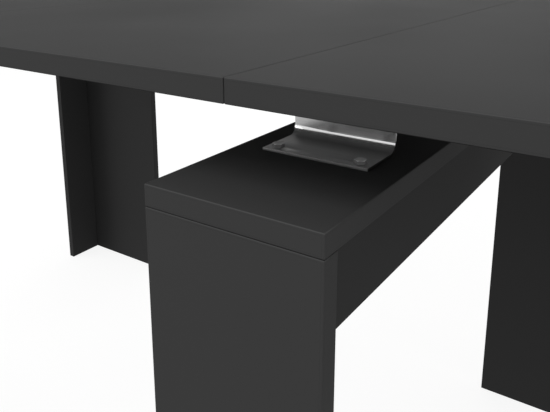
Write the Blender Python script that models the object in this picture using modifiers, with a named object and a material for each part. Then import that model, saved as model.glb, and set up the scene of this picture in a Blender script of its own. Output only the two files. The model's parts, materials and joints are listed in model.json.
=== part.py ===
"""Extendable console table, opened, with a middle support frame.

Two end sections, each a short top on a pair of corner legs, slide apart on two packs of
telescopic bars. Loose leaves lie on the bars between them. A portal frame in the middle
carries the packs on two bent steel brackets.

Metres, +Z up. The origin is on the floor under the middle of the table. +X runs along the
table's length: left is -X, right is +X, front is -Y and rear is +Y.
"""

import math

import bmesh
import bpy
from mathutils import Matrix, Vector

# Table and boards
TOP_WIDTH = 0.886
TABLE_HEIGHT = 0.775
BOARD = 0.015
LEAF_LENGTH = 0.425
EDGE_BEVEL = 0.0006

# Middle frame
MIDDLE_LEG_WIDTH = 0.128
RAIL_SPACE = 0.059
APRON_HEIGHT = 0.0505
APRON_INSET = 0.002

# Corner legs and apron of an end section
CORNER_PANEL_LENGTH = 0.2585
FIN_LENGTH = 0.086
END_APRON_HEIGHT = 0.050

# Telescopic bars and the nylon strips that they slide on
BAR_WIDTH = 0.010
BAR_HEIGHT = 0.032
BAR_LENGTH = 0.620
BAR_GAP = 0.001
GROOVE_DEPTH = 0.003
GROOVE_HEIGHT = 0.012
STRIP_LENGTH = 0.160
STRIP_INSET = 0.012
STOP_LENGTH = 0.008

# Rail brackets and their bolts
BRACKET_WIDTH = 0.083
BRACKET_SETBACK = 0.0955
BRACKET_BASE_DEPTH = 0.0455
BRACKET_TOP_DEPTH = 0.052
PLATE = 0.002
BEND_RADIUS = 0.009
BOLT_RADIUS = 0.0025
BOLT_LENGTH = 0.014
BOLT_HEAD_FLATS = 0.008
BOLT_HEAD_HEIGHT = 0.0028
BOLT_EDGE_X = 0.0088
BOLT_EDGE_Y = 0.007

# Battens under the leaves
BATTEN_WIDTH = 0.045
BATTEN_HEIGHT = 0.018

# Clearances
SEAM_GAP = 0.0005
JOINT_GAP = 0.0003
SLIDE_GAP = 0.0003
HOLE_GAP = 0.0003
BATTEN_GAP = 0.0008
FLANGE_CLEARANCE = 0.002
PACK_CLEARANCE = 0.003
CLOSING_GAP = 0.0175
BAR_END_GAP = 0.015
CUT_OVER = 0.001

# Counts
LEAVES = {"inner": 0, "outer": 1}
STAGES = 3
BEND_STEPS = 5
ROUND_SIDES = 16
HEX_SIDES = 6

# Places worked out from the driving dimensions
SIDES = {"left": -1, "right": 1}
FACES = {"front": -1, "rear": 1}
HALF_WIDTH = TOP_WIDTH / 2
HALF_LEG = MIDDLE_LEG_WIDTH / 2
END_TOP_INNER = len(LEAVES) * LEAF_LENGTH
END_TOP_LENGTH = HALF_LEG + CLOSING_GAP + CORNER_PANEL_LENGTH
HALF_LENGTH = END_TOP_INNER + END_TOP_LENGTH
UNDERSIDE = TABLE_HEIGHT - BOARD
SEAT = UNDERSIDE - JOINT_GAP
INNER_FACE = HALF_WIDTH - BOARD - JOINT_GAP
CAP_TOP = UNDERSIDE - RAIL_SPACE
CAP_BOTTOM = CAP_TOP - BOARD
BAR_MIDDLE = SEAT - BAR_HEIGHT / 2
FLANGE_TOP = SEAT - BAR_HEIGHT - FLANGE_CLEARANCE - JOINT_GAP
BAR_PITCH = BAR_WIDTH + BAR_GAP
PACK_WIDTH = 2 * STAGES * BAR_PITCH + BAR_WIDTH
WEB_Y = HALF_WIDTH - BRACKET_SETBACK - BRACKET_BASE_DEPTH
PACK_Y = WEB_Y - PACK_CLEARANCE - PACK_WIDTH / 2
END_BAR_X = HALF_LENGTH - BOARD - BAR_END_GAP - BAR_LENGTH / 2
STAGE_OFFSET = END_BAR_X / STAGES


def clear_scene():
    """Removes every object of the open scene."""
    for thing in list(bpy.data.objects):
        bpy.data.objects.remove(thing, do_unlink=True)


def new_collection(name):
    """Makes a collection in the scene."""
    made = bpy.data.collections.new(name)
    bpy.context.scene.collection.children.link(made)
    return made


clear_scene()
PARTS = new_collection("extendable_console_table")
CUTTERS = new_collection("cutters")


def material(name, colour, roughness, metallic=0.0):
    """Makes a plain Principled material."""
    made = bpy.data.materials.new(name)
    made.use_nodes = True
    shader = made.node_tree.nodes["Principled BSDF"]
    shader.inputs["Base Color"].default_value = (*colour, 1.0)
    shader.inputs["Roughness"].default_value = roughness
    shader.inputs["Metallic"].default_value = metallic
    return made


MELAMINE = material("anthracite_melamine", (0.055, 0.056, 0.058), 0.55)
STEEL = material("bent_steel", (0.42, 0.42, 0.43), 0.35, 1.0)
ZINC = material("zinc_plated_steel", (0.30, 0.30, 0.31), 0.40, 1.0)
ALUMINIUM = material("extruded_aluminium", (0.62, 0.63, 0.64), 0.38, 1.0)
NYLON = material("black_nylon", (0.020, 0.020, 0.021), 0.50)
BEECH = material("beech", (0.52, 0.36, 0.21), 0.65)


def carriage(name, place):
    """The empty that a group of pieces moves with."""
    empty = bpy.data.objects.new(name, None)
    empty.location = place
    PARTS.objects.link(empty)
    return empty


def piece(name, mesh, look, mover, place=(0.0, 0.0, 0.0), turn=0.0):
    """A named sub-part at a world place, turned about Z, parented to its mover."""
    made = bpy.data.objects.new(name, mesh)
    made.data.materials.clear()
    made.data.materials.append(look)
    made.parent = mover
    made.location = Vector(place) - mover.location
    made.rotation_euler.z = turn
    PARTS.objects.link(made)
    return made


def solid_mesh(name, add_shapes):
    """A mesh filled by a function that adds shapes to a BMesh."""
    mesh = bpy.data.meshes.new(name)
    shape = bmesh.new()
    add_shapes(shape)
    shape.to_mesh(mesh)
    shape.free()
    return mesh


def add_box(shape, low, high):
    """Adds a box between two corners."""
    low, high = Vector(low), Vector(high)
    matrix = Matrix.Translation((low + high) / 2) @ Matrix.Diagonal((*(high - low), 1.0))
    bmesh.ops.create_cube(shape, size=1.0, matrix=matrix)


def add_prism(shape, sides, radius, low, high, x=0.0, y=0.0):
    """Adds an upright prism, or a cylinder with many sides, between two heights."""
    matrix = Matrix.Translation((x, y, (low + high) / 2))
    bmesh.ops.create_cone(
        shape, cap_ends=True, segments=sides, radius1=radius, radius2=radius, depth=high - low, matrix=matrix
    )


def evaluated_mesh(thing):
    """The object's mesh with its modifiers, as a new mesh; the object is removed."""
    bpy.context.scene.collection.objects.link(thing)
    graph = bpy.context.evaluated_depsgraph_get()
    mesh = bpy.data.meshes.new_from_object(thing.evaluated_get(graph))
    bpy.data.objects.remove(thing, do_unlink=True)
    return mesh


def boolean(target, mesh, operation):
    """Adds a Boolean with a hidden operand that moves with the target."""
    operand = bpy.data.objects.new(mesh.name, mesh)
    operand.parent = target.parent
    operand.location = -target.parent.location if target.parent else (0, 0, 0)
    operand.hide_render = True
    operand.display_type = "WIRE"
    CUTTERS.objects.link(operand)
    step = target.modifiers.new(operation.lower(), "BOOLEAN")
    step.operation = operation
    step.object = operand


def board(name, spans, mover):
    """A melamine board that fills three (low, high) spans, with eased edges."""
    low, high = Vector([span[0] for span in spans]), Vector([span[1] for span in spans])
    middle = (low + high) / 2
    mesh = solid_mesh(name, lambda shape: add_box(shape, low - middle, high - middle))
    made = piece(name, mesh, MELAMINE, mover, middle)
    ease = made.modifiers.new("eased_edges", "BEVEL")
    ease.width = EDGE_BEVEL
    ease.segments = 1
    return made


def span(first, last, sign):
    """Two distances from the middle as a (low, high) span on one side of it."""
    return tuple(sorted((sign * first, sign * last)))


# Telescopic bars, modelled for the left side; the right side's are turned half round


def bar_mesh(name, foot, inner_groove, outer_groove):
    """A bar about its groove line, with a groove on its listed sides.

    The inner groove faces the bar before it and stops short of the bar's inner end, so that
    the strip of that bar holds it there. The outer groove carries the bar's own strip.
    """
    half, side, edge = BAR_LENGTH / 2, BAR_WIDTH / 2, GROOVE_HEIGHT / 2
    rise = BAR_HEIGHT / 2
    bar = bpy.data.objects.new(
        name, solid_mesh(name, lambda shape: add_box(shape, (-half, -side, -rise - foot), (half, side, rise)))
    )

    def grooves(shape):
        if inner_groove:
            end = half - STOP_LENGTH if inner_groove == "stopped" else half + CUT_OVER
            add_box(shape, (-half - CUT_OVER, side - GROOVE_DEPTH, -edge), (end, side + CUT_OVER, edge))
        if outer_groove:
            ends = half + CUT_OVER
            add_box(shape, (-ends, -side - CUT_OVER, -edge), (ends, GROOVE_DEPTH - side, edge))

    boolean(bar, solid_mesh(name + "_grooves", grooves), "DIFFERENCE")
    return evaluated_mesh(bar)


def strip_mesh():
    """The nylon strip that fills two facing grooves, about the groove line."""
    size = Vector((STRIP_LENGTH, 2 * GROOVE_DEPTH + BAR_GAP, GROOVE_HEIGHT))
    half = size / 2 - Vector((0, SLIDE_GAP, SLIDE_GAP))
    return solid_mesh("guide_strip", lambda shape: add_box(shape, -half, half))


CENTRE_BAR = bar_mesh("centre_bar", FLANGE_CLEARANCE, "open", True)
STAGE_BAR = bar_mesh("stage_bar", 0, "stopped", True)
END_BAR = bar_mesh("end_bar", 0, "stopped", False)
STRIP = strip_mesh()


def bar_place(side, face, stage):
    """A bar's middle: stage 0 is the centre bar, the last stage is the end bar."""
    sign = SIDES[side]
    return Vector((sign * stage * STAGE_OFFSET, FACES[face] * PACK_Y + sign * stage * BAR_PITCH, BAR_MIDDLE))


def half_turn(side):
    """The turn about Z that fits a left-side shape to a side."""
    return 0.0 if side == "left" else math.pi


def guide_strip(name, side, face, stage, mover):
    """The strip at a bar's outer end, on which the next stage's bar slides."""
    reach = BAR_LENGTH / 2 - STRIP_INSET - STRIP_LENGTH / 2
    offset = SIDES[side] * Vector((reach, BAR_PITCH / 2, 0))
    piece(name, STRIP, NYLON, mover, bar_place(side, face, stage) + offset)


# Middle frame


def middle_boards(mover):
    """Legs, cap and aprons of the portal frame."""
    across = (-HALF_LEG, HALF_LEG)
    under_cap = CAP_BOTTOM - JOINT_GAP
    for face, sign in FACES.items():
        leg_y = span(HALF_WIDTH - BOARD, HALF_WIDTH, sign)
        board(face + "_middle_leg", (across, leg_y, (0, under_cap)), mover)
    for side, sign in SIDES.items():
        outer = HALF_LEG - APRON_INSET
        apron_x = span(outer - BOARD, outer, sign)
        apron_z = (CAP_BOTTOM - APRON_HEIGHT, under_cap)
        board(side + "_apron", (apron_x, (-INNER_FACE, INNER_FACE), apron_z), mover)
    return board("middle_cap", (across, (-HALF_WIDTH, HALF_WIDTH), (CAP_BOTTOM, CAP_TOP)), mover)


def bracket_surface(sign):
    """The bent plate's lower side: base, web and top flange, open, before it is thickened."""
    base_front = sign * (HALF_WIDTH - BRACKET_SETBACK)
    web, top_back = sign * WEB_Y, sign * (WEB_Y - BRACKET_TOP_DEPTH)
    low, high = CAP_TOP + JOINT_GAP, FLANGE_TOP - PLATE
    path = [(base_front, low), (web, low), (web, high), (top_back, high)]
    half = BRACKET_WIDTH / 2

    def strip(shape):
        ends = (-half, half) if sign < 0 else (half, -half)
        near, far = [[shape.verts.new((x, y, z)) for y, z in path] for x in ends]
        for i in range(len(path) - 1):
            shape.faces.new((near[i], far[i], far[i + 1], near[i + 1]))

    return solid_mesh("bracket", strip)


def bolt_mesh():
    """A hexagon bolt; its head's seat is at z = 0."""
    corner = BOLT_HEAD_FLATS / math.sqrt(3)
    head = bpy.data.objects.new(
        "bolt", solid_mesh("bolt", lambda shape: add_prism(shape, HEX_SIDES, corner, 0, BOLT_HEAD_HEIGHT))
    )
    shank = solid_mesh(
        "bolt_shank", lambda shape: add_prism(shape, ROUND_SIDES, BOLT_RADIUS, -BOLT_LENGTH, BOLT_HEAD_HEIGHT / 2)
    )
    boolean(head, shank, "UNION")
    return evaluated_mesh(head)


def bolted_brackets(cap, mover):
    """The two brackets, their bolts and the holes that the bolts pass through."""
    bolt = bolt_mesh()
    seat = CAP_TOP + PLATE + 2 * JOINT_GAP
    bottom = seat - BOLT_LENGTH - HOLE_GAP
    bolt_places = []

    def holes(places):
        def add(shape):
            for x, y in places:
                add_prism(shape, ROUND_SIDES, BOLT_RADIUS + HOLE_GAP, bottom, seat + CUT_OVER, x, y)

        return solid_mesh("bolt_holes", add)

    for face, sign in FACES.items():
        bracket = piece(face + "_bracket", bracket_surface(sign), STEEL, mover)
        bends = bracket.modifiers.new("bends", "BEVEL")
        bends.width = BEND_RADIUS
        bends.segments = BEND_STEPS
        plate = bracket.modifiers.new("plate", "SOLIDIFY")
        plate.thickness = PLATE
        plate.offset = 1.0
        plate.use_even_offset = True
        y = sign * (HALF_WIDTH - BRACKET_SETBACK - BOLT_EDGE_Y)
        x = BRACKET_WIDTH / 2 - BOLT_EDGE_X
        places = [(SIDES[side] * x, y) for side in SIDES]
        for side, place in zip(SIDES, places):
            piece(f"{face}_{side}_bracket_bolt", bolt, ZINC, mover, (*place, seat))
        boolean(bracket, holes(places), "DIFFERENCE")
        bolt_places += places
    boolean(cap, holes(bolt_places), "DIFFERENCE")


def centre_bars(mover):
    """The fixed bars on the brackets, with a guide strip at each end."""
    for face in FACES:
        piece(face + "_centre_bar", CENTRE_BAR, ALUMINIUM, mover, bar_place("left", face, 0))
        for side in SIDES:
            guide_strip(f"{face}_centre_{side}_strip", side, face, 0, mover)


# Sliding stages, end sections and leaves


def sliding_stage(side, stage):
    """One intermediate pair of bars, front and rear, with their guide strips."""
    name = f"{side}_stage_{stage}"
    mover = carriage(name + "_carriage", (SIDES[side] * stage * STAGE_OFFSET, 0, BAR_MIDDLE))
    for face in FACES:
        place = bar_place(side, face, stage)
        piece(f"{name}_{face}_bar", STAGE_BAR, ALUMINIUM, mover, place, half_turn(side))
        guide_strip(f"{name}_{face}_strip", side, face, stage, mover)


def corner_leg(side, face, mover):
    """One L-shaped leg: a panel along the long side and a fin across the end."""
    x_sign, y_sign = SIDES[side], FACES[face]
    panel_x = span(HALF_LENGTH - CORNER_PANEL_LENGTH, HALF_LENGTH, x_sign)
    panel_y = span(HALF_WIDTH - BOARD, HALF_WIDTH, y_sign)
    board(f"{side}_{face}_leg_panel", (panel_x, panel_y, (0, SEAT)), mover)
    fin_x = span(HALF_LENGTH - BOARD, HALF_LENGTH, x_sign)
    fin_y = span(INNER_FACE - FIN_LENGTH, INNER_FACE, y_sign)
    board(f"{side}_{face}_leg_fin", (fin_x, fin_y, (0, SEAT)), mover)


def end_section(side):
    """An end top on two corner legs with an apron between them, and its pair of bars."""
    sign = SIDES[side]
    mover = carriage(side + "_end_carriage", (sign * END_TOP_INNER, 0, BAR_MIDDLE))
    top_x = span(END_TOP_INNER + SEAM_GAP / 2, HALF_LENGTH, sign)
    board(side + "_end_top", (top_x, (-HALF_WIDTH, HALF_WIDTH), (UNDERSIDE, TABLE_HEIGHT)), mover)
    apron_x = span(HALF_LENGTH - BOARD, HALF_LENGTH, sign)
    apron_end = INNER_FACE - FIN_LENGTH - JOINT_GAP
    board(side + "_end_apron", (apron_x, (-apron_end, apron_end), (SEAT - END_APRON_HEIGHT, SEAT)), mover)
    for face in FACES:
        corner_leg(side, face, mover)
        place = bar_place(side, face, STAGES)
        piece(f"{side}_{face}_end_bar", END_BAR, ALUMINIUM, mover, place, half_turn(side))


def leaf(side, place):
    """A loose leaf on the bars, with the batten that stiffens it between the packs."""
    name = f"{side}_{place}_leaf"
    inner = LEAVES[place] * LEAF_LENGTH
    leaf_x = span(inner + SEAM_GAP / 2, inner + LEAF_LENGTH - SEAM_GAP / 2, SIDES[side])
    middle = sum(leaf_x) / 2
    mover = carriage(name + "_carriage", (middle, 0, UNDERSIDE))
    board(name, (leaf_x, (-HALF_WIDTH, HALF_WIDTH), (UNDERSIDE, TABLE_HEIGHT)), mover)
    half = Vector((BATTEN_WIDTH / 2, PACK_Y - PACK_WIDTH / 2 - BATTEN_GAP, BATTEN_HEIGHT / 2))
    mesh = solid_mesh("batten", lambda shape: add_box(shape, -half, half))
    piece(name + "_batten", mesh, BEECH, mover, (middle, 0, SEAT - BATTEN_HEIGHT / 2))


def build():
    """Makes the whole table."""
    frame = carriage("middle_frame_base", (0, 0, 0))
    bolted_brackets(middle_boards(frame), frame)
    centre_bars(frame)
    for side in SIDES:
        for stage in range(1, STAGES):
            sliding_stage(side, stage)
        end_section(side)
        for place in LEAVES:
            leaf(side, place)


build()
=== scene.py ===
"""Looks of the extendable console table: matt boards, bent steel brackets, aluminium bars."""

import json
import math

import bmesh
import bpy
from mathutils import Matrix, Vector


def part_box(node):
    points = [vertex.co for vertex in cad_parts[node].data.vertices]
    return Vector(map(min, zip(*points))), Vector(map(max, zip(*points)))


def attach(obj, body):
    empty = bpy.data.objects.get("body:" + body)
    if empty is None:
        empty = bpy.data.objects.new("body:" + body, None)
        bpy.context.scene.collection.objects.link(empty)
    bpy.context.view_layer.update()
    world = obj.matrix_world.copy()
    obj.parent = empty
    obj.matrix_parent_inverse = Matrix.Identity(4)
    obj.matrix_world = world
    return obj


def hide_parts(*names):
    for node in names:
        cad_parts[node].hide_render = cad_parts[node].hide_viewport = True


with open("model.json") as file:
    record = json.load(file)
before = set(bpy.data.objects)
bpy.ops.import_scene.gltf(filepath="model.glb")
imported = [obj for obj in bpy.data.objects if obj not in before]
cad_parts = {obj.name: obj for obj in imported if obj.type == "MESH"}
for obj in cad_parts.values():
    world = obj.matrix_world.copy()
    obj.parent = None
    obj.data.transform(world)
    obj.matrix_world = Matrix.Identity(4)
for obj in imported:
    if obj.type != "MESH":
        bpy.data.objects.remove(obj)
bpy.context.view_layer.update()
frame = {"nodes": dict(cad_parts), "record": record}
BODIES = frame["record"]["behaviour"]["bodies"]
BODY_OF = {name: body for body, names in BODIES.items() for name in names}
SLOT_OF = {part["node"]: part["material_slot"] for part in frame["record"]["subparts"]}
SIDES = ("left", "right")
FACES = ("front", "rear")

# Photograph's camera: picture size and principal point in pixels, place in metres, angles in degrees
IMAGE_WIDTH = 550
IMAGE_HEIGHT = 412
PRINCIPAL_ROW = 102
FOCAL_PIXELS = 640.55
SENSOR_MM = 36.0
NEAREST_SEEN = 0.02
CAMERA_PLACE = (0.2109, -0.7063, 0.8424)
CAMERA_TURN = 33.966
CAMERA_DIP = 13.556

# Light: strength of the white room, and grey, seen glow and lighting glow of the floor
ROOM_LIGHT = 0.45
FLOOR_GREY = 0.22
FLOOR_GLOW = 0.885
FLOOR_BOUNCE = 0.26
FLOOR_HALF = 20.0

# Soft boxes: place, aim, width in metres, power in watts
LAMPS = {
    "left": ((-3.4, -1.6, 1.6), (0.0, -0.2, 0.6), 2.4, 43.4),
    "right": ((3.4, -1.6, 1.6), (0.0, -0.2, 0.6), 2.4, 40.7),
    "front": ((0.0, -1.65, 2.13), (0.0, -0.4, 0.7), 0.8, 9.2),
    "far_left": ((-2.0, 2.85, 1.2), (-0.1, 0.0, 0.77), 0.9, 3.0),
    "far": ((-0.9, 3.0, 1.25), (-0.1, 0.0, 0.77), 0.9, 2.6),
}

# Boards, with rounded edges and a thin band glued round them
EDGE_RADIUS = 0.0007
BAND_THICKNESS = 0.0010
BAND_JOINT = 0.00012
BAND_INSET = EDGE_RADIUS + BAND_THICKNESS
ARC_STEPS = 3
BATTEN_RADIUS = 0.002

# Zones near a board's edge: distances from it, and how far up or to the thin side the surface looks
GLUE_INSET = (BAND_INSET - BAND_JOINT, BAND_INSET - BAND_JOINT * 0.05)
ARRIS_INSET = (EDGE_RADIUS * 0.5, EDGE_RADIUS)
UPPER_LOOK = (0.1, 0.5)
LOWER_LOOK = (-0.5, -0.1)
BAND_LOOK = (0.4, 0.6)

# Where the upper edges get a painted highlight: along the table's long sides and on its top
PAINTED_HIGHLIGHT_Y = (0.425, 0.440)
PAINTED_HIGHLIGHT_Z = (0.760, 0.770)

# Greys of the boards' faces, band, glue line, painted highlight on upper edges and painted shade on lower
# edges
FACE_GREYS = (0.0500, 0.0555)
BAND_GREY = 0.0527
GLUE_GREY = 0.018
PAINTED_HIGHLIGHT_GREY = 0.5
PAINTED_SHADE_GREY = 0.008
GLUE_COVER = 0.45
PAINTED_HIGHLIGHT_COVER = 0.05
PAINTED_SHADE_COVER = 0.95
BOARD_GLOSS = 0.017

# Boards painted darker or lighter than the rest: painted shade on the aprons, painted light on the middle
# cap
PAINTED_SHADE_AND_LIGHT_OF = {"left_apron": 0.70, "right_apron": 0.70, "middle_cap": 1.18}

# Telescopic bars
GROOVE_DEPTH = 0.003
SLIDE_GAP = 0.0003
BAR_CORNER = 0.0007
BAR_CORNER_STEPS = 3
BAR_CAP = 0.0012

# Brackets
BRACKET_BASE_DEPTH = 0.0455
PLATE = 0.002
BEND_RADIUS = 0.009
TOP_BEND_RADIUS = 0.005
BEND_STEPS = 14
PLATE_EASE = 0.00015
EASE_STEPS = 2
HOLE_RADIUS = 0.0028
HOLE_SIDES = 32

# Bracket's zones: flange by its distance from the bend, bend and web by their height above the seat
FLANGE_REACH = (0.0, 0.016)
BEND_RISE = (PLATE + 0.0002, PLATE + 0.0056)
WEB_RISE = (BEND_RADIUS - 0.0004, BEND_RADIUS + 0.0002)
# Flange greys: painted shade near the bend, then the flange's plain grey
FLANGE_PAINTED_SHADE_GREYS = (0.36, 0.74)
BEND_GREY = 0.85
WEB_GREY = 0.43
SHEARED_GREY = 0.04
BRUSHED_GREY = 0.10
BRUSHED_COVER = 0.25
BEND_METAL = (0.62, 0.90)
BEND_ROUGHNESS = (0.45, 0.10)
WEB_ROUGHER = (0.0, 0.14)
CLOUD_ROUGHER = (-0.03, 0.03)
SIDE_SHEAR = 1.0
FRONT_SHEAR = 0.72

# Hexagon bolts; shares are of the width over flats, the drop and the width over corners
BOLT_FLATS = 0.008
BOLT_HEAD = 0.0028
BOLT_CHAMFER = math.radians(30)
BOLT_TOP_SHARE = 0.94
BOLT_DROP_SHARE = 1.1
BOLT_TURN_SHARE = 1.1
BOLT_TURN_STEPS = 48
BOLT_SHANK = 0.0025
SHANK_SIDES = 24

# Pan-head screws; the profile gives shares of radius and height
SCREW_RADIUS = 0.0035
SCREW_HEAD = 0.0020
SCREW_PROFILE = ((0, 1.0), (0.45, 0.97), (0.75, 0.80), (0.93, 0.50), (1.0, 0.12), (1.0, 0.0), (0, 0))
SCREW_TURN_STEPS = 24
RECESS_DEPTH = 0.0012
RECESS_LENGTH = 0.0042
RECESS_WIDTH = 0.0008
SCREW_INSET = 0.030
FLANGE_SCREW_X = 0.027
BATTEN_SCREWS = 4

# Zinc of bolts and screws: greys with painted shade on the flanks and a painted highlight on the tops, and
# how far up a face looks that counts as a turned top
ZINC_PAINTED_SHADE_GREY = 0.17
ZINC_PAINTED_HIGHLIGHT_GREY = 0.97
MOTTLE_GREY = 0.10
MOTTLE_COVER = 0.2
ZINC_METAL = 0.05
BOLT_TOP_LOOK = 0.8
SCREW_TOP_LOOK = 0.3

# Bars, strips and battens: greys of the metal and the nylon, colours of the wood
ALUMINIUM_GREYS = (0.50, 0.66)
ALUMINIUM_WARMTH = -0.01
NYLON_GREYS = (0.012, 0.022)
BEECH_DARK = (0.40, 0.25, 0.13, 1.0)
BEECH_PALE = (0.60, 0.43, 0.27, 1.0)
FLECK_BROWN = (0.22, 0.12, 0.06, 1.0)
FLECK_NOISE = (0.60, 0.72)
FLECK_COVER = (0.0, 0.55)

# Roughness over the span of a finish's noise
ROUGHNESS = {
    "melamine": (0.58, 0.66),
    "zinc_bolt": (0.42, 0.55),
    "aluminium": (0.30, 0.42),
    "nylon": (0.45, 0.60),
    "beech": (0.52, 0.64),
}

# Angles in degrees up to which faces are shaded as one, and past which a plate's edges are eased
SMOOTH_ANGLE = 35
BOLT_SMOOTH_ANGLE = 25
CUT_SMOOTH_ANGLE = 40
EASE_ANGLE = 50

# Spans of a whole share and of most noise values
WHOLE = (0.0, 1.0)
NOISE = (0.3, 0.7)


# Node trees


def node(tree, kind, inputs=(), **settings):
    """Adds a node to a tree; inputs maps its sockets to values or to other nodes' outputs."""
    made = tree.nodes.new(kind)
    for name, value in settings.items():
        setattr(made, name, value)
    for socket, value in dict(inputs).items():
        if isinstance(value, bpy.types.NodeSocket):
            tree.links.new(value, made.inputs[socket])
        else:
            made.inputs[socket].default_value = value
    return made


def math_node(tree, operation, *values):
    """The result of a Math node."""
    return node(tree, "ShaderNodeMath", enumerate(values), operation=operation).outputs[0]


def vector_node(tree, operation, *values):
    """The vector result of a Vector Math node."""
    return node(tree, "ShaderNodeVectorMath", enumerate(values), operation=operation).outputs["Vector"]


def axes_node(tree, vector):
    """The X, Y and Z of a vector."""
    return node(tree, "ShaderNodeSeparateXYZ", {0: vector}).outputs


def span_node(tree, value, from_span, to_span):
    """A value mapped from one span to another and held inside it."""
    ends = {
        "Value": value, "From Min": from_span[0], "From Max": from_span[1],
        "To Min": to_span[0], "To Max": to_span[1],
    }
    return node(tree, "ShaderNodeMapRange", ends).outputs["Result"]


def blend_node(tree, factor, first, second):
    """Two colours blended by a factor."""
    ends = {0: factor, 6: first, 7: second}
    return node(tree, "ShaderNodeMix", ends, data_type="RGBA").outputs[2]


def noise_node(tree, place, scale, detail, stretch=(1.0, 1.0, 1.0)):
    """Noise on a place, drawn out along the axes with a small stretch factor."""
    drawn = vector_node(tree, "MULTIPLY", place, stretch)
    inputs = {"Vector": drawn, "Scale": scale, "Detail": detail}
    return node(tree, "ShaderNodeTexNoise", inputs).outputs["Fac"]


def bump_node(tree, height, depth, strength):
    """A normal bent by a height that is given as a share of a depth in metres."""
    inputs = {"Strength": strength, "Distance": depth, "Height": height}
    return node(tree, "ShaderNodeBump", inputs).outputs["Normal"]


def place_node(tree):
    """The place on a piece, in its own coordinates."""
    return node(tree, "ShaderNodeTexCoord").outputs["Object"]


def kept_node(tree, name, output="Fac"):
    """A value that a mesh keeps under a name."""
    return node(tree, "ShaderNodeAttribute", attribute_name=name).outputs[output]


def principled(name, **constants):
    """A Principled material with constants on its own sockets, its tree and its shader."""
    look = bpy.data.materials.new(name)
    look.use_nodes = True
    surface = look.node_tree.nodes["Principled BSDF"]
    for socket, value in constants.items():
        surface.inputs[socket.replace("_", " ")].default_value = value
    return look, look.node_tree, surface


def connect(tree, surface, tone, roughness, normal):
    """Gives a shader its colour, roughness and normal."""
    tree.links.new(tone, surface.inputs["Base Color"])
    tree.links.new(roughness, surface.inputs["Roughness"])
    tree.links.new(normal, surface.inputs["Normal"])


def grey(value, warmth=0.0):
    """A grey of a linear value, a little warm or cool."""
    return (value * (1 + warmth), value, value * (1 - warmth), 1.0)


# Finishes


def edge_tone(tree, place, tone):
    """A board's tone with its glue line, a painted highlight on upper edges and painted shade on lower
    ones.
    """
    inset = kept_node(tree, "from_edge")
    past_start = math_node(tree, "GREATER_THAN", inset, GLUE_INSET[0])
    before_end = math_node(tree, "LESS_THAN", inset, GLUE_INSET[1])
    glue = math_node(tree, "MULTIPLY", math_node(tree, "MULTIPLY", past_start, before_end), GLUE_COVER)
    tone = blend_node(tree, glue, tone, grey(GLUE_GREY))
    on_arris = span_node(tree, inset, ARRIS_INSET, (1.0, 0.0))
    upward = kept_node(tree, "upward")
    spot = axes_node(tree, place)
    along_side = span_node(tree, math_node(tree, "ABSOLUTE", spot[1]), PAINTED_HIGHLIGHT_Y, WHOLE)
    on_top = span_node(tree, spot[2], PAINTED_HIGHLIGHT_Z, WHOLE)
    # Painted highlight on arrises that look up, along the long sides and on the top
    upper = math_node(tree, "MULTIPLY", on_arris, span_node(tree, upward, UPPER_LOOK, (0.0, PAINTED_HIGHLIGHT_COVER)))
    painted_highlight = math_node(tree, "MULTIPLY", upper, math_node(tree, "MAXIMUM", along_side, on_top))
    tone = blend_node(tree, painted_highlight, tone, grey(PAINTED_HIGHLIGHT_GREY))
    # Painted shade on arrises that look down
    lower = span_node(tree, upward, LOWER_LOOK, (PAINTED_SHADE_COVER, 0.0))
    return blend_node(tree, math_node(tree, "MULTIPLY", on_arris, lower), tone, grey(PAINTED_SHADE_GREY))


def melamine():
    """Matt anthracite board: a fine pearl grain on the faces, a plainer band round the edges."""
    look, tree, surface = principled("matt_anthracite_melamine", Specular_IOR_Level=BOARD_GLOSS)
    place = place_node(tree)
    cloud = noise_node(tree, place, scale=5.0, detail=3.0)
    pearl = noise_node(tree, place, scale=1600.0, detail=1.0)
    tone = blend_node(tree, cloud, grey(FACE_GREYS[0]), grey(FACE_GREYS[1]))
    # The face tone is multiplied by the board's factor of painted shade (aprons) and painted light (middle
    # cap)
    tone = vector_node(tree, "MULTIPLY", tone, kept_node(tree, "shade", "Vector"))
    tone = blend_node(tree, kept_node(tree, "on_band"), tone, grey(BAND_GREY))
    rough = span_node(tree, cloud, NOISE, ROUGHNESS["melamine"])
    bump = bump_node(tree, pearl, depth=0.00004, strength=0.5)
    connect(tree, surface, edge_tone(tree, place, tone), rough, bump)
    return look


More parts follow.
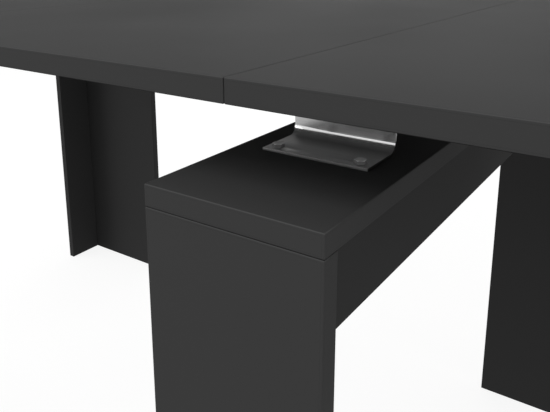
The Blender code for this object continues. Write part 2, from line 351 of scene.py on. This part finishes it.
def bent_steel():
    """Dull rolled sheet with painted shade on the flange towards the bend, burnished where the press bent
    it, smoother on the web, dark at its cut edges.
    """
    look, tree, surface = principled("rolled_bent_steel")
    place = place_node(tree)
    brush = noise_node(tree, place, scale=900.0, detail=3.0, stretch=(0.02, 1.0, 1.0))
    cloud = noise_node(tree, place, scale=60.0, detail=3.0)
    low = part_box("front_bracket")[0]
    bend_start = -low.y - BRACKET_BASE_DEPTH + BEND_RADIUS
    spot = axes_node(tree, place)
    rise = math_node(tree, "SUBTRACT", spot[2], low.z)
    reach = math_node(tree, "SUBTRACT", math_node(tree, "ABSOLUTE", spot[1]), bend_start)
    on_flange = span_node(tree, reach, FLANGE_REACH, WHOLE)
    up_bend = span_node(tree, rise, BEND_RISE, WHOLE)
    on_web = span_node(tree, rise, WEB_RISE, WHOLE)
    below_web = math_node(tree, "SUBTRACT", 1.0, on_web)
    sheared = math_node(tree, "MULTIPLY", kept_node(tree, "sheared"), below_web)
    metal = math_node(tree, "MAXIMUM", span_node(tree, up_bend, WHOLE, BEND_METAL), sheared)
    tree.links.new(metal, surface.inputs["Metallic"])
    # Painted shade darkens the flange towards the bend
    tone = blend_node(tree, on_flange, grey(FLANGE_PAINTED_SHADE_GREYS[0]), grey(FLANGE_PAINTED_SHADE_GREYS[1]))
    tone = blend_node(tree, up_bend, tone, grey(BEND_GREY))
    tone = blend_node(tree, on_web, tone, grey(WEB_GREY))
    tone = blend_node(tree, sheared, tone, grey(SHEARED_GREY))
    tone = blend_node(tree, math_node(tree, "MULTIPLY", brush, BRUSHED_COVER), tone, grey(BRUSHED_GREY))
    rough = span_node(tree, up_bend, WHOLE, BEND_ROUGHNESS)
    rough = math_node(tree, "ADD", rough, span_node(tree, on_web, WHOLE, WEB_ROUGHER))
    rough = math_node(tree, "ADD", rough, span_node(tree, cloud, NOISE, CLOUD_ROUGHER))
    connect(tree, surface, tone, rough, bump_node(tree, brush, depth=0.00001, strength=0.3))
    return look


def zinc():
    """Zinc-plated steel of the bolts and screws, with painted shade on the flanks and a painted highlight
    on the tops.
    """
    look, tree, surface = principled("zinc_plated_steel", Metallic=ZINC_METAL)
    mottle = noise_node(tree, place_node(tree), scale=700.0, detail=3.0)
    # Tops get a painted highlight, flanks painted shade
    tone = blend_node(tree, kept_node(tree, "turned"), grey(ZINC_PAINTED_SHADE_GREY), grey(ZINC_PAINTED_HIGHLIGHT_GREY))
    tone = blend_node(tree, math_node(tree, "MULTIPLY", mottle, MOTTLE_COVER), tone, grey(MOTTLE_GREY))
    rough = span_node(tree, mottle, NOISE, ROUGHNESS["zinc_bolt"])
    connect(tree, surface, tone, rough, bump_node(tree, mottle, depth=0.00003, strength=0.3))
    return look


def aluminium():
    """Extruded aluminium with die lines along the bar."""
    look, tree, surface = principled("extruded_aluminium", Metallic=1.0, Anisotropic=0.4)
    place = place_node(tree)
    lines = noise_node(tree, place, scale=1100.0, detail=2.0, stretch=(0.004, 1.0, 1.0))
    cloud = noise_node(tree, place, scale=25.0, detail=3.0)
    tone = blend_node(tree, lines, *[grey(value, ALUMINIUM_WARMTH) for value in ALUMINIUM_GREYS])
    rough = span_node(tree, cloud, NOISE, ROUGHNESS["aluminium"])
    connect(tree, surface, tone, rough, bump_node(tree, lines, depth=0.00003, strength=0.4))
    return look


def nylon():
    """Black moulded nylon with a fine spark-eroded grain."""
    look, tree, surface = principled("black_nylon")
    grain = noise_node(tree, place_node(tree), scale=1500.0, detail=2.0)
    tone = blend_node(tree, grain, grey(NYLON_GREYS[0]), grey(NYLON_GREYS[1]))
    rough = span_node(tree, grain, NOISE, ROUGHNESS["nylon"])
    connect(tree, surface, tone, rough, bump_node(tree, grain, depth=0.00006, strength=0.5))
    return look


def beech():
    """Planed beech with its grain across the table and short dark flecks."""
    look, tree, surface = principled("planed_beech")
    place = place_node(tree)
    rings = noise_node(tree, place, scale=55.0, detail=4.0, stretch=(1.0, 0.05, 1.0))
    flecks = noise_node(tree, place, scale=520.0, detail=2.0, stretch=(1.0, 0.06, 1.0))
    wood = blend_node(tree, rings, BEECH_DARK, BEECH_PALE)
    tone = blend_node(tree, span_node(tree, flecks, FLECK_NOISE, FLECK_COVER), wood, FLECK_BROWN)
    rough = span_node(tree, rings, NOISE, ROUGHNESS["beech"])
    connect(tree, surface, tone, rough, bump_node(tree, flecks, depth=0.00008, strength=0.4))
    return look


LOOKS = {
    "melamine": melamine(),
    "bent_steel": bent_steel(),
    "zinc_bolt": zinc(),
    "aluminium": aluminium(),
    "nylon": nylon(),
    "beech": beech(),
}


# Pieces


def placed(name, data):
    """A new object in the scene."""
    made = bpy.data.objects.new(name, data)
    bpy.context.scene.collection.objects.link(made)
    return made


def fitted(name, mesh, body, slot, replaced=None):
    """A finished piece at the origin that rides a body and may stand for a CAD node."""
    piece = placed(name, mesh)
    if not mesh.materials:
        mesh.materials.append(LOOKS[slot])
    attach(piece, body)
    if replaced:
        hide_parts(replaced)


def in_place_of(name, mesh):
    """A piece that stands for the CAD node of that name."""
    fitted(name + "_finished", mesh, BODY_OF[name], SLOT_OF[name], name)


def nodes_of(slot):
    """Names of the CAD nodes of one material."""
    return [name for name, kind in SLOT_OF.items() if kind == slot]


def evaluated_mesh(maker):
    """A copy of an object's mesh with its modifiers applied."""
    bpy.context.view_layer.update()
    graph = bpy.context.evaluated_depsgraph_get()
    return bpy.data.meshes.new_from_object(maker.evaluated_get(graph))


def baked_mesh(maker):
    """An object's mesh with its modifiers applied; the object is removed."""
    mesh = evaluated_mesh(maker)
    bpy.data.objects.remove(maker, do_unlink=True)
    return mesh


def grown_mesh(name, tree, values, start=None):
    """The plain mesh that a Geometry Nodes tree makes from named inputs."""
    maker = placed(name, start or bpy.data.meshes.new(name))
    step = maker.modifiers.new(tree.name, "NODES")
    step.node_group = tree
    for socket in tree.interface.items_tree:
        if socket.in_out == "INPUT" and socket.name in values:
            step[socket.identifier] = values[socket.name]
    return baked_mesh(maker)


def smooth_mesh(name, shape, angle=SMOOTH_ANGLE):
    """A mesh from a BMesh, shaded smooth up to an angle."""
    mesh = bpy.data.meshes.new(name)
    shape.to_mesh(mesh)
    shape.free()
    return smoothed(mesh, angle)


def smoothed(mesh, angle):
    """A mesh that is shaded smooth up to an angle."""
    mesh.shade_smooth()
    mesh.set_sharp_from_angle(angle=math.radians(angle))
    return mesh


def extruded_mesh(name, outline, x_low, x_high):
    """A prism along X of an outline of (y, z) points, smooth where its sides turn gently."""
    shape = bmesh.new()
    face = shape.faces.new([shape.verts.new((x_low, y, z)) for y, z in outline])
    grown = bmesh.ops.extrude_face_region(shape, geom=[face])["geom"]
    moved = [part for part in grown if isinstance(part, bmesh.types.BMVert)]
    bmesh.ops.translate(shape, vec=(x_high - x_low, 0, 0), verts=moved)
    bmesh.ops.recalc_face_normals(shape, faces=shape.faces)
    return smooth_mesh(name, shape)


def add_prism(shape, sides, radius, centre, height):
    """Adds an upright prism with that many sides to a BMesh."""
    bmesh.ops.create_cone(
        shape, cap_ends=True, segments=sides, radius1=radius, radius2=radius, depth=height,
        matrix=Matrix.Translation(centre),
    )


def turned_shape(profile, steps):
    """A BMesh turned about Z from a profile of (radius, height) points."""
    shape = bmesh.new()
    path = [shape.verts.new((radius, 0, height)) for radius, height in profile]
    edges = [shape.edges.new(pair) for pair in zip(path, path[1:])]
    bmesh.ops.spin(shape, geom=path + edges, axis=(0, 0, 1), cent=(0, 0, 0), angle=2 * math.pi, steps=steps)
    bmesh.ops.remove_doubles(shape, verts=shape.verts, dist=1e-6)
    bmesh.ops.recalc_face_normals(shape, faces=shape.faces)
    return shape


def cut_away(maker, mesh, operation="DIFFERENCE"):
    """Cuts an object with a mesh and keeps the result as the object's own mesh."""
    cutter = placed(mesh.name, mesh)
    cut = maker.modifiers.new("cut", "BOOLEAN")
    cut.operation, cut.object = operation, cutter
    maker.data = evaluated_mesh(maker)
    maker.modifiers.remove(cut)
    bpy.data.objects.remove(cutter, do_unlink=True)


def with_painted_highlight_top(mesh, least):
    """Marks the faces of a mesh that look up at least so far, for a painted highlight."""
    turned = mesh.attributes.new("turned", "FLOAT", "FACE")
    for side, mark in zip(mesh.polygons, turned.data):
        mark.value = side.normal.z > least
    return mesh


# Geometry Nodes


def new_tree(name, inputs):
    """An empty Geometry Nodes tree with named inputs; gives the tree and its input sockets."""
    tree = bpy.data.node_groups.new(name, "GeometryNodeTree")
    for title, kind in inputs.items():
        tree.interface.new_socket(title, in_out="INPUT", socket_type="NodeSocket" + kind)
    tree.interface.new_socket("Geometry", in_out="OUTPUT", socket_type="NodeSocketGeometry")
    return tree, node(tree, "NodeGroupInput").outputs


def close_tree(tree, geometry, material):
    """Ends a tree with plain geometry of one material."""
    real = node(tree, "GeometryNodeRealizeInstances", {"Geometry": geometry}).outputs[0]
    coated = node(tree, "GeometryNodeSetMaterial", {"Geometry": real, "Material": material}).outputs[0]
    node(tree, "NodeGroupOutput", {"Geometry": coated})


def stored(tree, geometry, name, value):
    """Geometry with a value kept on its points under a name."""
    inputs = {"Geometry": geometry, "Name": name, "Value": value}
    kind = {"data_type": "FLOAT", "domain": "POINT"}
    return node(tree, "GeometryNodeStoreNamedAttribute", inputs, **kind).outputs[0]


def from_edge_node(tree, depth):
    """Distance of a surface point from the nearest edge: the middle one of its depths under the sides."""
    parts = axes_node(tree, depth)
    least = math_node(tree, "MINIMUM", math_node(tree, "MINIMUM", parts[0], parts[1]), parts[2])
    most = math_node(tree, "MAXIMUM", math_node(tree, "MAXIMUM", parts[0], parts[1]), parts[2])
    total = math_node(tree, "ADD", math_node(tree, "ADD", parts[0], parts[1]), parts[2])
    return math_node(tree, "SUBTRACT", math_node(tree, "SUBTRACT", total, least), most)


def board_tree():
    """A board with rounded edges and a ring of points where its edge band meets its face.

    The points of a gridded cube are counted in steps from the middle of each side: step 0 lies
    at the joint of the band, step 1 where the rounding starts, and the rest on the arc.
    """
    tree, given = new_tree(
        "eased_board",
        {"Centre": "Vector", "Half Size": "Vector", "Thin Axis": "Vector",
         "Radius": "Float", "Band": "Float", "Shade": "Float", "Material": "Material"},
    )

    def vector(operation, *values):
        return vector_node(tree, operation, *values)

    none, half, one = (0.0,) * 3, (0.5,) * 3, (1.0,) * 3
    last_step = ARC_STEPS + 1
    count = 2 * (last_step + 1)
    cube = node(
        tree, "GeometryNodeMeshCube",
        {"Size": (2.0, 2.0, 2.0), "Vertices X": count, "Vertices Y": count, "Vertices Z": count},
    ).outputs["Mesh"]
    grid = node(tree, "GeometryNodeInputPosition").outputs[0]
    sign = vector("SIGN", grid)
    step = vector("MULTIPLY", vector("ABSOLUTE", grid), (last_step + 0.5,) * 3)
    step = vector("SUBTRACT", step, half)
    on_arc = vector("MAXIMUM", vector("SUBTRACT", step, one), none)
    lean = vector("TANGENT", vector("MULTIPLY", on_arc, (math.pi / 4 / ARC_STEPS,) * 3))
    facing = vector("NORMALIZE", vector("MULTIPLY", sign, lean))
    inner = vector("SUBTRACT", one, vector("MINIMUM", step, one))
    inset = vector("ADD", vector("MULTIPLY", inner, given["Band"]), given["Radius"])
    core = vector("MULTIPLY", sign, vector("SUBTRACT", given["Half Size"], inset))
    local = vector("ADD", core, vector("MULTIPLY", facing, given["Radius"]))
    depth = vector("SUBTRACT", given["Half Size"], vector("ABSOLUTE", local))
    axes = {0: facing, 1: given["Thin Axis"]}
    flat = node(tree, "ShaderNodeVectorMath", axes, operation="DOT_PRODUCT").outputs["Value"]
    on_band = span_node(tree, math_node(tree, "ABSOLUTE", flat), BAND_LOOK, (1.0, 0.0))
    shape = stored(tree, cube, "from_edge", from_edge_node(tree, depth))
    shape = stored(tree, shape, "on_band", on_band)
    # The kept shade is the board's factor of painted shade and painted light
    shape = stored(tree, shape, "shade", given["Shade"])
    shape = stored(tree, shape, "upward", axes_node(tree, facing)[2])
    place = vector("ADD", local, given["Centre"])
    shape = node(tree, "GeometryNodeSetPosition", {"Geometry": shape, "Position": place}).outputs[0]
    shape = node(tree, "GeometryNodeSetShadeSmooth", {"Geometry": shape}).outputs[0]
    close_tree(tree, shape, given["Material"])
    return tree


def fittings_tree():
    """Copies of a part on points, each turned to its point's facing and stretched to its size."""
    tree, given = new_tree("fittings", {"Geometry": "Geometry", "Part": "Object", "Material": "Material"})
    source = {"Object": given["Part"], "As Instance": True}
    part = node(tree, "GeometryNodeObjectInfo", source).outputs["Geometry"]
    kind = {"data_type": "FLOAT_VECTOR"}
    facing, size = [
        node(tree, "GeometryNodeInputNamedAttribute", {"Name": name}, **kind).outputs["Attribute"]
        for name in ("facing", "size")
    ]
    turn = node(tree, "FunctionNodeAlignRotationToVector", {"Vector": facing}, axis="Z").outputs[0]
    copies = node(
        tree, "GeometryNodeInstanceOnPoints",
        {"Points": given["Geometry"], "Instance": part, "Rotation": turn, "Scale": size},
    ).outputs[0]
    close_tree(tree, copies, given["Material"])
    return tree


BOARD_TREE = board_tree()
FITTINGS_TREE = fittings_tree()


# Boards and bars


def eased_board(name, radius):
    """Replaces a board's CAD node with one that has rounded edges."""
    low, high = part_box(name)
    half = (high - low) / 2
    thin = min(range(3), key=lambda axis: half[axis])
    mesh = grown_mesh(name, BOARD_TREE, {
        "Centre": (low + high) / 2,
        "Half Size": half,
        "Thin Axis": Vector([float(axis == thin) for axis in range(3)]),
        "Radius": radius,
        "Band": BAND_THICKNESS,
        "Shade": PAINTED_SHADE_AND_LIGHT_OF.get(name, 1.0),
        "Material": LOOKS[SLOT_OF[name]],
    })
    in_place_of(name, mesh)


def rounded_corner(y, z, y_side, z_side):
    """Points round an outer corner of a bar, from its y side to its z side."""
    turns = [math.pi / 2 * step / BAR_CORNER_STEPS for step in range(BAR_CORNER_STEPS + 1)]
    y_reach, z_reach = y_side * BAR_CORNER, z_side * BAR_CORNER
    return [
        (y - y_reach + y_reach * math.cos(turn), z - z_reach + z_reach * math.sin(turn))
        for turn in turns
    ]


def bar_outline(low, high, groove, grooved_sides):
    """Outline of a bar, anticlockwise, with a groove between two heights on its grooved sides."""
    def notch(side):
        if side not in grooved_sides:
            return []
        wall = high.y if side > 0 else low.y
        floor = wall - side * GROOVE_DEPTH
        points = [(wall, groove[0]), (floor, groove[0]), (floor, groove[1]), (wall, groove[1])]
        return points if side > 0 else points[::-1]

    right = rounded_corner(high.y, low.z, 1, -1)[::-1] + notch(1) + rounded_corner(high.y, high.z, 1, 1)
    left = rounded_corner(low.y, high.z, -1, 1)[::-1] + notch(-1) + rounded_corner(low.y, low.z, -1, -1)
    return right + left


def extruded_bars():
    """Replaces the CAD bars with eased ones of one section along their length."""
    strip_low, strip_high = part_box("front_centre_left_strip")
    groove = (strip_low.z - SLIDE_GAP, strip_high.z + SLIDE_GAP)
    for name in nodes_of("aluminium"):
        low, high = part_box(name)
        inner = 1 if name.startswith("left") else -1
        sides = (inner,) if name.endswith("end_bar") else (1, -1)
        outline = bar_outline(low, high, groove, sides)
        in_place_of(name, extruded_mesh(name, outline, low.x + BAR_CAP, high.x - BAR_CAP))


# Brackets and bolts


def arc(centre, radius, first, last):
    """Points on an arc from one angle to another, in degrees."""
    turns = [math.radians(first + (last - first) * step / BEND_STEPS) for step in range(BEND_STEPS + 1)]
    return [(centre[0] + radius * math.cos(turn), centre[1] + radius * math.sin(turn)) for turn in turns]


def plate_outline(low, high, outward):
    """Outline of a bent bracket as (y, z) points, with concentric arcs at its two bends."""
    base_front, top_back = (low.y, high.y) if outward < 0 else (high.y, low.y)
    depth, rise = abs(top_back - base_front), high.z - low.z
    web, small, large = BRACKET_BASE_DEPTH, TOP_BEND_RADIUS, BEND_RADIUS
    heel, shoulder = (web - large, large), (web + small, rise - PLATE - small)
    under = [(0, 0)] + arc(heel, large, -90, 0)
    under += arc(shoulder, small, 180, 90) + [(depth, rise - PLATE)]
    over = [(0, PLATE)] + arc(heel, large - PLATE, -90, 0)
    over += arc(shoulder, small + PLATE, 180, 90) + [(depth, rise)]
    return [(base_front - outward * inward, low.z + up) for inward, up in under + over[::-1]]


def with_sheared_edges(mesh, low, high):
    """Marks the cut edges of a bracket's mesh, those at its sides more than those in front."""
    sheared = mesh.attributes.new("sheared", "FLOAT", "FACE")
    for side, mark in zip(mesh.polygons, sheared.data):
        spot = side.center
        if min(spot.x - low.x, high.x - spot.x) < PLATE_EASE:
            mark.value = SIDE_SHEAR
        elif min(spot.y - low.y, high.y - spot.y) < PLATE_EASE:
            mark.value = FRONT_SHEAR
    return mesh


def bent_bracket(face):
    """Replaces a bracket with one whose bends are smooth and whose cut edges are eased."""
    name = face + "_bracket"
    low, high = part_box(name)
    outline = plate_outline(low, high, -1 if face == "front" else 1)
    maker = placed(name, extruded_mesh(name, outline, low.x, high.x))
    holes = bmesh.new()
    for side in SIDES:
        bolt_low, bolt_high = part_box(f"{face}_{side}_bracket_bolt")
        add_prism(holes, HOLE_SIDES, HOLE_RADIUS, (bolt_low + bolt_high) / 2, bolt_high.z - bolt_low.z)
    cut_away(maker, smooth_mesh("bolt_holes", holes))
    ease = maker.modifiers.new("eased_edges", "BEVEL")
    ease.width, ease.segments = PLATE_EASE, EASE_STEPS
    ease.limit_method, ease.angle_limit = "ANGLE", math.radians(EASE_ANGLE)
    mesh = baked_mesh(maker)
    mesh.materials.clear()
    in_place_of(name, with_sheared_edges(smoothed(mesh, CUT_SMOOTH_ANGLE), low, high))


def bolt_head():
    """A hexagon head that is turned off at its corners; its seat is at z = 0."""
    corner = BOLT_FLATS / math.sqrt(3)
    hexagon = bmesh.new()
    add_prism(hexagon, 6, corner, (0, 0, BOLT_HEAD / 2), BOLT_HEAD)
    maker = placed("bolt", smooth_mesh("bolt", hexagon))
    top_radius = BOLT_FLATS / 2 * BOLT_TOP_SHARE
    drop = (corner - top_radius) * math.tan(BOLT_CHAMFER) * BOLT_DROP_SHARE
    outer = corner * BOLT_TURN_SHARE
    shoulder = BOLT_HEAD - drop * (outer - top_radius) / (corner - top_radius)
    profile = [(0, 0), (outer, 0), (outer, shoulder), (top_radius, BOLT_HEAD), (0, BOLT_HEAD)]
    cut_away(maker, smooth_mesh("turned", turned_shape(profile, BOLT_TURN_STEPS)), "INTERSECT")
    return baked_mesh(maker)


def hexagon_bolts():
    """Replaces the four bolts with ones that have chamfered heads and a plain shank."""
    head = bolt_head()
    for name in nodes_of("zinc_bolt"):
        low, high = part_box(name)
        middle = (low + high) / 2
        shape = bmesh.new()
        shape.from_mesh(head)
        bmesh.ops.translate(shape, vec=(middle.x, middle.y, high.z - BOLT_HEAD), verts=shape.verts)
        length = high.z - BOLT_HEAD - low.z
        add_prism(shape, SHANK_SIDES, BOLT_SHANK, (middle.x, middle.y, low.z + length / 2), length)
        in_place_of(name, with_painted_highlight_top(smooth_mesh(name, shape, BOLT_SMOOTH_ANGLE), BOLT_TOP_LOOK))


# Screws and caps


def spread(name, body, slot, part, places):
    """A piece that rides a body, with a part at each (place, facing, size)."""
    points = bpy.data.meshes.new(name)
    points.from_pydata([place for place, _, _ in places], [], [])
    for column, title in ((1, "facing"), (2, "size")):
        values = points.attributes.new(title, "FLOAT_VECTOR", "POINT")
        values.data.foreach_set("vector", [number for place in places for number in place[column]])
    template = placed("template", part)
    mesh = grown_mesh(name, FITTINGS_TREE, {"Part": template, "Material": LOOKS[slot]}, points)
    bpy.data.objects.remove(template, do_unlink=True)
    fitted(name, mesh, body, slot)


def spread_on_bodies(title, slot, part, places):
    """One piece of parts for each body that has places for them."""
    for body, spots in places.items():
        if spots:
            spread(f"{body}_{title}", body, slot, part, spots)


def screw_head():
    """A pan head with a cross recess; its seat is at z = 0."""
    profile = [(radius * SCREW_RADIUS, height * SCREW_HEAD) for radius, height in SCREW_PROFILE]
    maker = placed("screw", smooth_mesh("screw", turned_shape(profile, SCREW_TURN_STEPS)))
    for length, width in ((RECESS_LENGTH, RECESS_WIDTH), (RECESS_WIDTH, RECESS_LENGTH)):
        recess = bmesh.new()
        scale = Matrix.Diagonal((length, width, 2 * RECESS_DEPTH, 1.0))
        bmesh.ops.create_cube(recess, size=1.0, matrix=Matrix.Translation((0, 0, SCREW_HEAD)) @ scale)
        cut_away(maker, smooth_mesh("recess", recess))
    return with_painted_highlight_top(smoothed(baked_mesh(maker), CUT_SMOOTH_ANGLE), SCREW_TOP_LOOK)


def screw_places(name, slot):
    """Seats of the screws under a centre bar's flange, an end bar or a batten."""
    low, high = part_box(name)
    middle = (low + high) / 2
    if name.endswith("centre_bar"):
        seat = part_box(name.split("_")[0] + "_bracket")[1].z - PLATE
        return [(x, middle.y, seat) for x in (-FLANGE_SCREW_X, FLANGE_SCREW_X)]
    if name.endswith("end_bar"):
        top_low, top_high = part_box(name.split("_")[0] + "_end_top")
        first, last = max(low.x, top_low.x) + SCREW_INSET, min(high.x, top_high.x) - SCREW_INSET
        return [(x, middle.y, low.z) for x in (first, (first + last) / 2, last)]
    if slot == "beech":
        first, last = low.y + SCREW_INSET, high.y - SCREW_INSET
        steps = BATTEN_SCREWS - 1
        return [(middle.x, first + (last - first) * step / steps, low.z) for step in range(BATTEN_SCREWS)]
    return []


def wood_and_rail_screws():
    """Screws with their heads down, in one piece for each body."""
    down, plain = (0, 0, -1), (1, 1, 1)
    places = {body: [] for body in BODIES}
    for name, slot in SLOT_OF.items():
        places[BODY_OF[name]] += [(seat, down, plain) for seat in screw_places(name, slot)]
    spread_on_bodies("screws", "zinc_bolt", screw_head(), places)


def bar_caps():
    """Black caps on both ends of every bar."""
    up = (0, 0, 1)
    places = {body: [] for body in BODIES}
    for name in nodes_of("aluminium"):
        low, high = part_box(name)
        middle, size = (low + high) / 2, high - low
        for x in (low.x + BAR_CAP / 2, high.x - BAR_CAP / 2):
            places[BODY_OF[name]].append(((x, middle.y, middle.z), up, (BAR_CAP, size.y, size.z)))
    block = bmesh.new()
    bmesh.ops.create_cube(block, size=1.0)
    spread_on_bodies("bar_caps", "nylon", smooth_mesh("bar_cap", block), places)


def dress_the_table():
    """Finishes every piece."""
    for name, slot in SLOT_OF.items():
        if slot == "melamine":
            eased_board(name, EDGE_RADIUS)
        elif slot == "beech":
            eased_board(name, BATTEN_RADIUS)
        elif slot == "nylon":
            frame["nodes"][name].data.materials.clear()
            frame["nodes"][name].data.materials.append(LOOKS[slot])
    extruded_bars()
    for face in FACES:
        bent_bracket(face)
    hexagon_bolts()
    bar_caps()
    wood_and_rail_screws()


# Studio


def camera():
    """The photograph's camera."""
    lens = bpy.data.cameras.new("photograph")
    lens.sensor_width = SENSOR_MM
    lens.lens = FOCAL_PIXELS / IMAGE_WIDTH * SENSOR_MM
    lens.shift_y = (PRINCIPAL_ROW - IMAGE_HEIGHT / 2) / IMAGE_WIDTH
    lens.clip_start = NEAREST_SEEN
    eye = placed("photograph", lens)
    eye.location = CAMERA_PLACE
    eye.rotation_euler = (math.radians(90 - CAMERA_DIP), 0, math.radians(CAMERA_TURN))
    bpy.context.scene.camera = eye


def soft_lamp(name, place, aim, size, power):
    """A square soft box at a place, turned to a point."""
    lamp = bpy.data.lights.new(name, "AREA")
    lamp.shape, lamp.size, lamp.energy = "SQUARE", size, power
    box = placed(name, lamp)
    box.location = place
    box.rotation_euler = (Vector(aim) - Vector(place)).to_track_quat("-Z", "Y").to_euler()


def seen_or_mirrored(tree):
    """One for a ray that the camera, a mirror or a glass sends, and nought for light."""
    path = node(tree, "ShaderNodeLightPath").outputs
    mirrored = math_node(tree, "MAXIMUM", path["Is Glossy Ray"], path["Is Transmission Ray"])
    return math_node(tree, "MAXIMUM", path["Is Camera Ray"], mirrored)


def white_room():
    """Surroundings that are white to look at and give a softer light."""
    room = bpy.data.worlds.new("white_room")
    bpy.context.scene.world = room
    room.use_nodes = True
    tree = room.node_tree
    inputs = tree.nodes["Background"].inputs
    inputs["Color"].default_value = grey(1.0)
    tree.links.new(span_node(tree, seen_or_mirrored(tree), WHOLE, (ROOM_LIGHT, 1.0)), inputs["Strength"])


def pale_floor():
    """A pale floor that keeps a faint shadow."""
    shape = bmesh.new()
    bmesh.ops.create_grid(shape, x_segments=1, y_segments=1, size=FLOOR_HALF)
    floor = placed("floor", smooth_mesh("floor", shape))
    look, tree, surface = principled("pale_floor", Roughness=1.0, Specular_IOR_Level=0.0)
    surface.inputs["Base Color"].default_value = grey(FLOOR_GREY)
    surface.inputs["Emission Color"].default_value = grey(1.0)
    glow = span_node(tree, seen_or_mirrored(tree), WHOLE, (FLOOR_BOUNCE, FLOOR_GLOW))
    tree.links.new(glow, surface.inputs["Emission Strength"])
    floor.data.materials.append(look)


def studio():
    """White surroundings, a pale floor and soft lamps."""
    white_room()
    pale_floor()
    for name, (place, aim, size, power) in LAMPS.items():
        soft_lamp(name, place, aim, size, power)
    bpy.context.scene.view_settings.view_transform = "Standard"


dress_the_table()
camera()
studio()
